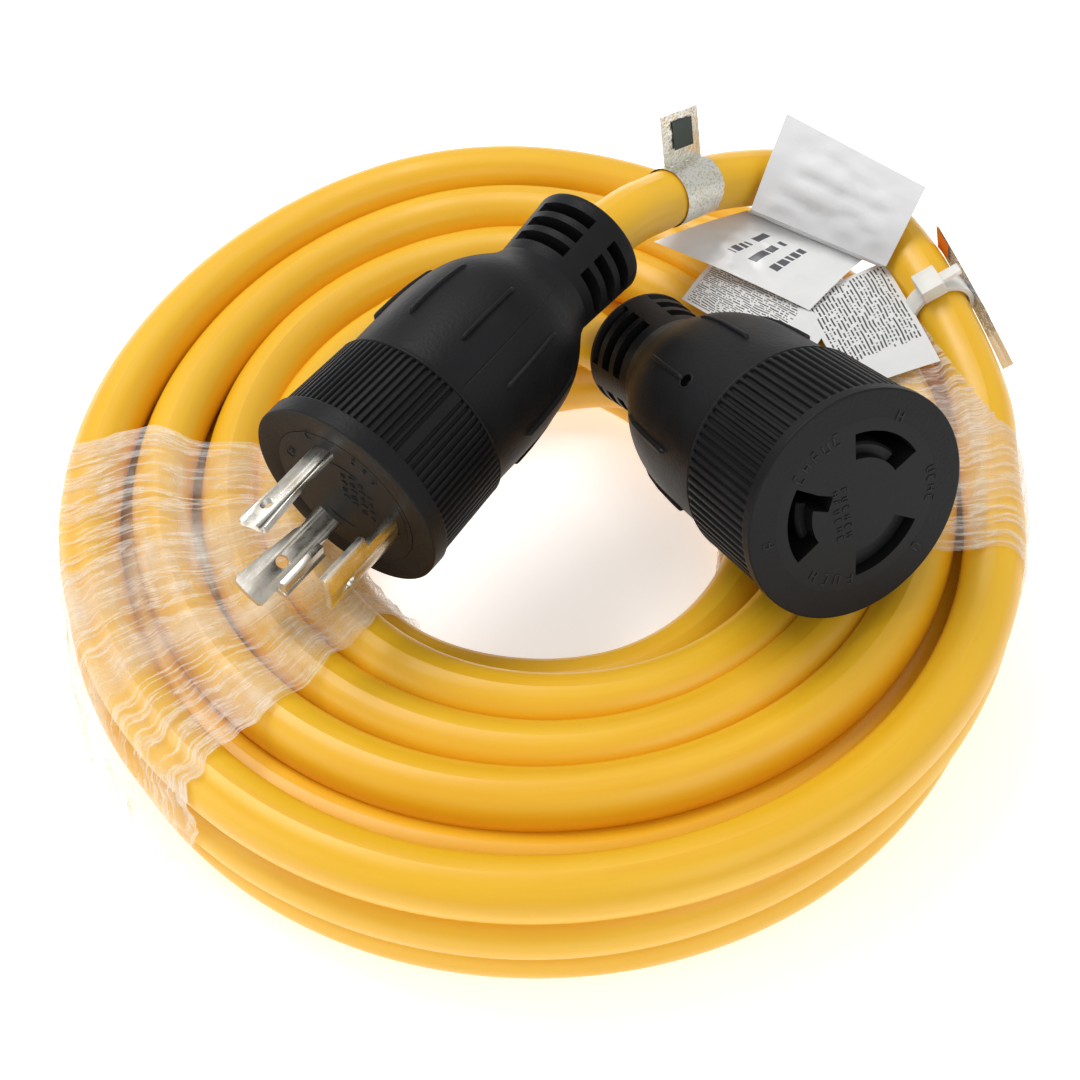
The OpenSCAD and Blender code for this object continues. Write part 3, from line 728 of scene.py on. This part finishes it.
marks("connector_marks", CONN, arc_row(207, 17.2, 5, 9, 1, 2.5) + arc_row(330, 16.6, 4, 11, 2, 2.3)
      + arc_row(81, 18.2, 4, 7, 3, 2.0) + arc_row(142, 20.0, 1, 0, 4, 2.6) + arc_row(268, 20.8, 1, 0, 5, 2.6)
      + arc_row(38, 20.7, 1, 0, 6, 2.4) + straight_row(-5.0, 5.8, -2.5, 6, 1, 1.5)
      + straight_row(-5.0, 5.8, -4.6, 6, 2, 1.5))
marks("plug_marks", PLUG, arc_row(206, 16.9, 1, 0, 1, 1.9) + arc_row(248, 14.6, 2, 8, 2, 1.9)
      + arc_row(163, 15.6, 1, 0, 3, 1.7) + arc_row(152, 15.1, 1, 0, 5, 1.7) + arc_row(141, 15.1, 1, 0, 6, 1.7)
      + straight_row(-7.5, -0.5, 0.6, 4, 2, 1.4) + straight_row(-8.0, 0.5, 2.9, 5, 3, 1.5)
      + straight_row(-7.2, 1.6, 5.2, 5, 4, 1.4) + straight_row(-4.6, 2.4, 7.3, 4, 5, 1.2)
      + [(2.4, 13.8, 1.5, 0.22, 0), (2.4, 13.8, 1.5, 0.22, 90)])


def arc_ridge(name, pose, r, a0, a1, width, high):
    """A low rounded ridge along an arc of a face, fading out at both ends."""
    n = max(12, int(abs(a1 - a0) / 3))
    rows = []
    for i in range(n + 1):
        a = math.radians(a0 + (a1 - a0) * i / n)
        k = min(1, 4 * min(i, n - i) / n + 0.15)
        section = [(r + w * width / 2, z * high * k - 0.02)
                   for w, z in ((-1.4, -0.5), (-0.6, 0.8), (0, 1), (0.6, 0.8), (1.4, -0.5))]
        rows.append([(rr * math.cos(a), rr * math.sin(a), z) for rr, z in section])
    p = pose.world(np.array(rows).reshape(-1, 3))
    return piece(name, p, grid_faces(n + 1, 5), "overmold")


arc_ridge("plug_arc_a", PLUG, 16.3, 78, 118, 0.4, 0.18)
arc_ridge("plug_arc_b", PLUG, 16.3, 222, 250, 0.4, 0.18)
arc_ridge("plug_arc_c", PLUG, 10.2, 150, 200, 0.4, 0.2)
arc_ridge("plug_arc_d", PLUG, 9.6, 322, 372, 0.45, 0.2)


def ledge(name, pose, r0, r1, z0, z1, mid, arc):
    """A curved step inside a slot."""
    n = 18
    rows = []
    for i in range(n + 1):
        a = math.radians(mid - arc / 2 + arc * i / n)
        rows.append([(r * math.cos(a), r * math.sin(a), z)
                     for r, z in ((r0, z0), (r0, z1 - 0.1), (r1 - 0.5, z1), (r1, z1 - 0.5), (r1, z0))])
    p = pose.world(np.array(rows).reshape(-1, 3))
    caps = [[0, 1, 2, 3, 4], [n * 5 + k for k in (4, 3, 2, 1, 0)]]
    return piece(name, p, grid_faces(n + 1, 5, False, True) + caps, "insert", sharp=20)


ledge("slot_step_x", CONN, 10.65, 13.1, -6, -2.0, CONN_POLE[0] + 4, 52)
ledge("slot_step_y", CONN, 12.6, 16.35, -7, -2.4, CONN_POLE[1], 58)
ledge("slot_step_ground", CONN, 10.65, 12.6, -7, -2.8, CONN_POLE[2] + 5, 40)


def hole_ring(name, pose, knots, ang, s, radius):
    """The small round hole at the end of one dome rib: a raised rim round a near-black dished disc, which is painted
    shade in place of the hole's depth.
    """
    base = dome_radius(knots, s)
    a = math.radians(ang)
    out = np.array([math.cos(a), math.sin(a), 0])
    side, up = np.array([-math.sin(a), math.cos(a), 0]), np.array([0, 0, 1.0])
    rim = ((1.5, -0.25), (1.35, 0.12), (1.12, 0.2), (1.0, 0.1), (1.0, -0.5))
    # the hole has no depth: a near-black disc just proud of the dome shows its darkness as painted shade
    pit = ((1.02, 0.1), (0.9, 0.06), (0.0001, 0.05))
    for nm, mat, prof in (("_rim", "overmold", rim), ("_pit", "pit", pit)):
        rows = [[out * (base + h) + radius * rr * (math.cos(t) * side + math.sin(t) * up)
                 + np.array([0, 0, -s]) for t in np.linspace(0, TAU, 33)[:-1]] for rr, h in prof]
        piece(name + nm, pose.world(np.array(rows).reshape(-1, 3)), grid_faces(len(rows), 32, False, True),
              mat)


hole_ring("connector_hole", CONN, CONN_DOME, CONN_RIB_ANGLES[HOLE_RIB], 39.2, 1.4)


# ---------------------------------------------------------------- stretch film

def strand_hull(th, grow):
    """Outline of the strands cut at angle th: points of the hull of their circles, outwards from the hole."""
    c = [(lane_value(rs, th), lane_value(zs, th)) for rs, zs in LANES]
    cloud = [(r + (CORD_R + grow) * math.cos(t), z + (CORD_R + grow) * math.sin(t))
             for r, z in c for t in np.linspace(0, TAU, 25)[:-1]]
    cloud = sorted(set((round(x, 4), round(y, 4)) for x, y in cloud))

    def turn(a, b, p):
        return (b[0] - a[0]) * (p[1] - a[1]) - (b[1] - a[1]) * (p[0] - a[0])

    def half(points):
        out = []
        for p in points:
            while len(out) > 1 and turn(out[-2], out[-1], p) <= 0:
                out.pop()
            out.append(p)
        return out
    lower, upper = half(cloud), half(cloud[::-1])
    return np.array(upper[::-1] + lower[::-1][1:-1])


FILM_MID = (76.0, 18.0)  # middle of the strands' section: distance from the axis, and height
FILM_POINTS = 91


def film_path(th, grow):
    """Line from the foot of the inner wall, over the top and down the outer wall, and its length."""
    hull = strand_hull(th, grow)
    top = hull[hull[:, 1] >= 2.0]
    ang = np.arctan2(top[:, 1] - FILM_MID[1], top[:, 0] - FILM_MID[0])
    ang = np.where(ang < -math.pi / 2, ang + TAU, ang)
    top = top[np.argsort(-ang)]
    seg = np.concatenate([[0], np.cumsum(np.linalg.norm(np.diff(top, axis=0), axis=1))])
    t = np.linspace(0, seg[-1], FILM_POINTS)
    return np.stack([np.interp(t, seg, top[:, 0]), np.interp(t, seg, top[:, 1])], -1), t


def film(name, a0, a1, node, seed, skirt=None, rag=2.6, pleats=1.0):
    """A pleated band over the strands from a0 to a1 degrees, with ragged ends.

    skirt is (first angle, last angle, reach): the band's outer foot stands out there.
    """
    n = int((a1 - a0) * 2.2)
    pts = np.zeros((n + 1, FILM_POINTS, 3))
    uv = np.zeros((n + 1, FILM_POINTS, 2))
    for i in range(n + 1):
        f = i / n
        base_th = math.radians(a0 + (a1 - a0) * f)
        path, t = film_path(base_th, 0.55)
        for j in range(FILM_POINTS):
            q = j / (FILM_POINTS - 1)
            ragged = rag * (noise.noise(Vector((q * 9, seed, 0.3))) + 0.5 * noise.noise(Vector((q * 31, seed, 0.9))))
            edge = (1 - f) * noise.noise(Vector((q * 8, seed + 5, 0))) * rag - f * ragged
            th = math.radians(a0 + (a1 - a0) * f + edge)
            r, z = path[j]
            w = (noise.noise(Vector((th * 34, q * 3.4, seed))) * 0.75
                 + noise.noise(Vector((th * 80, q * 9, seed + 2))) * 0.35
                 + abs(noise.noise(Vector((th * 12, q * 22, seed + 4)))) * 0.7)
            lift = 0.15 + pleats * max(-0.1, w)
            nr, nz = (r - FILM_MID[0]), (z - FILM_MID[1])
            d = math.hypot(nr, nz)
            r += lift * nr / d
            z += lift * nz / d
            if skirt:
                s0, s1, reach = skirt
                k = max(0, min(1, (math.degrees(th) - s0) / 9)) * max(0, min(1, (s1 - math.degrees(th)) / 9))
                drop = max(0, (q - 0.70) / 0.30)
                r += reach * k * drop ** 1.3 * (0.75 + 0.5 * noise.noise(Vector((th * 20, q * 6, seed + 7))))
            z = max(z, 0.7)
            pts[i, j] = (r * math.cos(th), r * math.sin(th), z)
            uv[i, j] = (base_th * 0.08, t[j] * MM)
    ob = piece(name, pts.reshape(-1, 3), grid_faces(n + 1, FILM_POINTS), "film", uv.reshape(-1, 2))
    d = np.linalg.norm(np.diff(pts, axis=1), axis=-1).sum(axis=1).mean() * MM
    w = np.linalg.norm(np.diff(pts, axis=0), axis=-1).sum(axis=0).mean() * MM
    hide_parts(node)


film("film_left", 173, 229, "film_wrap_left", 1.0, skirt=(196, 233, 7.5))
film("film_right", -18, 22, "film_wrap_right", 4.0, pleats=0.55)


# ---------------------------------------------------------------- labels

def leaf(name, corners, mat, node=None, bulge=0.0, curl=0.0, n=(28, 22), seed=0.0, crumple=0.35,
         sheet=True):
    """A thin creased sheet between four corners, given round its edge. UV runs from the first corner.

    bulge bows it along its first edge and curl along its second. sheet has no effect on the sheet.
    """
    a, b, c, d = (np.array(p, float) for p in corners)
    nrm = np.cross(b - a, d - a)
    nrm /= np.linalg.norm(nrm)
    pts, uv = [], []
    for i in range(n[0] + 1):
        u = i / n[0]
        for j in range(n[1] + 1):
            v = j / n[1]
            p = (1 - u) * (1 - v) * a + u * (1 - v) * b + u * v * c + (1 - u) * v * d
            h = bulge * math.sin(math.pi * u) + curl * math.sin(math.pi * v)
            h += crumple * min(1, 6 * min(u, 1 - u, v, 1 - v)) * (
                            abs(noise.noise(Vector((u * 4, v * 4, seed)))) * 2 - 0.4
                            + 0.4 * noise.noise(Vector((u * 11, v * 11, seed))))
            pts.append(p + nrm * h)
            uv.append((u, v))
    ob = piece(name, np.array(pts), grid_faces(n[0] + 1, n[1] + 1), mat, uv)
    if node:
        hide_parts(node)
    if sheet:
        h = (np.linalg.norm(d - a) + np.linalg.norm(c - b)) / 2 * MM


# The folded label: a front leaf over the cord, a back leaf behind it, a strip under it, an inner leaf.
TOP_A, TOP_B = (61.5, 80, 67.5), (93, 63.5, 58)
FOLD_A, FOLD_B = (52.5, 64.5, 52), (83.5, 51, 45)
ROOT_A, ROOT_B = (52.5, 69.5, 47), (79, 55.5, 43.5)
leaf("label_front", (FOLD_A, FOLD_B, TOP_B, TOP_A), "label", "flag_label", 0, 1.8, seed=1,
     crumple=0.8)
leaf("label_back", (TOP_A, TOP_B, (90, 69.5, 41), (60.5, 83.5, 50)), "label", None, 0, 0.8, seed=2,
     crumple=0.6)
leaf("label_under", (FOLD_A, FOLD_B, ROOT_B, ROOT_A), "label", None, 0, -0.6, seed=8,
     sheet=False)
leaf("label_inner", ((64.5, 40, 42.5), ROOT_B, ROOT_A, (29.5, 62, 45)), "label_marks", None, 0.7, 0.7,
     seed=3, crumple=0.5)
leaf("leaflet_a", ((35.3, 47, 40.6), (60.5, 21.9, 41.2), (70.3, 38.1, 41.6), (43.3, 58.8, 40.8)), "leaflet",
     "leaflet", 0.5, 0.4, seed=4, crumple=0.5)
leaf("leaflet_b", ((62.7, 44.2, 41.8), (71.2, 15.6, 40.8), (92.9, 24, 41.0), (83.8, 55.3, 42.2)), "leaflet",
     None, 0.5, 0.4, seed=5, crumple=0.5)
leaf("leaflet_outer", ((96, 59.5, 50), (110.5, 26, 37), (109, 28, 33), (97, 58, 44)), "leaflet",
     "leaflet_flap", 0.4, 0.3, seed=6, sheet=False)
leaf("leaflet_corner", ((95.8, 59.0, 50.0), (98.2, 54.0, 48.0), (98.4, 53.6, 44.2), (96.7, 57.6, 44.2)), "orange",
     None, n=(8, 8), crumple=0, sheet=False)


# ---------------------------------------------------------------- foil label and its flag

def basis(pos, az, pitch):
    """A place on the cord, and the directions along it, to its side and out of its top."""
    a, p = math.radians(az), math.radians(pitch)
    along = np.array([math.cos(a) * math.cos(p), math.sin(a) * math.cos(p), -math.sin(p)])
    side = np.array([math.sin(a), -math.cos(a), 0])
    return np.array(pos, float), along, side, np.cross(side, along)


def foil_band():
    pos, along, side, up = basis((36.6, 65.3, 57.8), 43, 16)
    rows = []
    for i in range(15):
        x = -6.5 + 13 * i / 14
        rows.append([pos + along * x + (CORD_R + 0.32 + 0.10 * noise.noise(Vector((x, t * 3, 0))))
                     * (math.cos(t) * up + math.sin(t) * side) for t in np.linspace(0, TAU, 49)[:-1]])
    ob = piece("foil_band", np.array(rows).reshape(-1, 3), grid_faces(15, 48, False, True), "foil")
    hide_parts("foil_label")
    foot_l, foot_r, top_r, top_l = (pos + along * x + up * h - side * k for x, h, k in
                                    ((-6.5, 6.6, 2.4), (6.5, 6.6, 2.4), (3.5, 19.5, 5), (-9.5, 19.5, 5)))
    leaf("foil_flag", (foot_l, foot_r, top_r, top_l), "foil", n=(16, 16), seed=7, crumple=0.2, sheet=False)

    def on_flag(across, high):
        low, tip = foot_l + (foot_r - foot_l) * across, top_l + (top_r - top_l) * across
        return low + (tip - low) * high + side * 0.4

    leaf("foil_mark", (on_flag(0.28, 0.30), on_flag(0.80, 0.30), on_flag(0.80, 0.85), on_flag(0.28, 0.85)), "ink",
         n=(8, 8), crumple=0.1, sheet=False)


foil_band()


# ---------------------------------------------------------------- floor

floor_mat = Mat("floor_white", (0.95, 0.95, 0.95), 0.7, Emission_Color=(1, 1, 1, 1), Emission_Strength=0.5)
me = bpy.data.meshes.new("floor")
me.from_pydata([(-6, -6, 0), (6, -6, 0), (6, 6, 0), (-6, 6, 0)], [], [[0, 1, 2, 3]])
me.materials.append(floor_mat.m)
floor = bpy.data.objects.new("floor", me)
scene.collection.objects.link(floor)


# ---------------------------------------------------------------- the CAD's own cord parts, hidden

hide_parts("cord_coil", "plug_tail", "connector_tail")
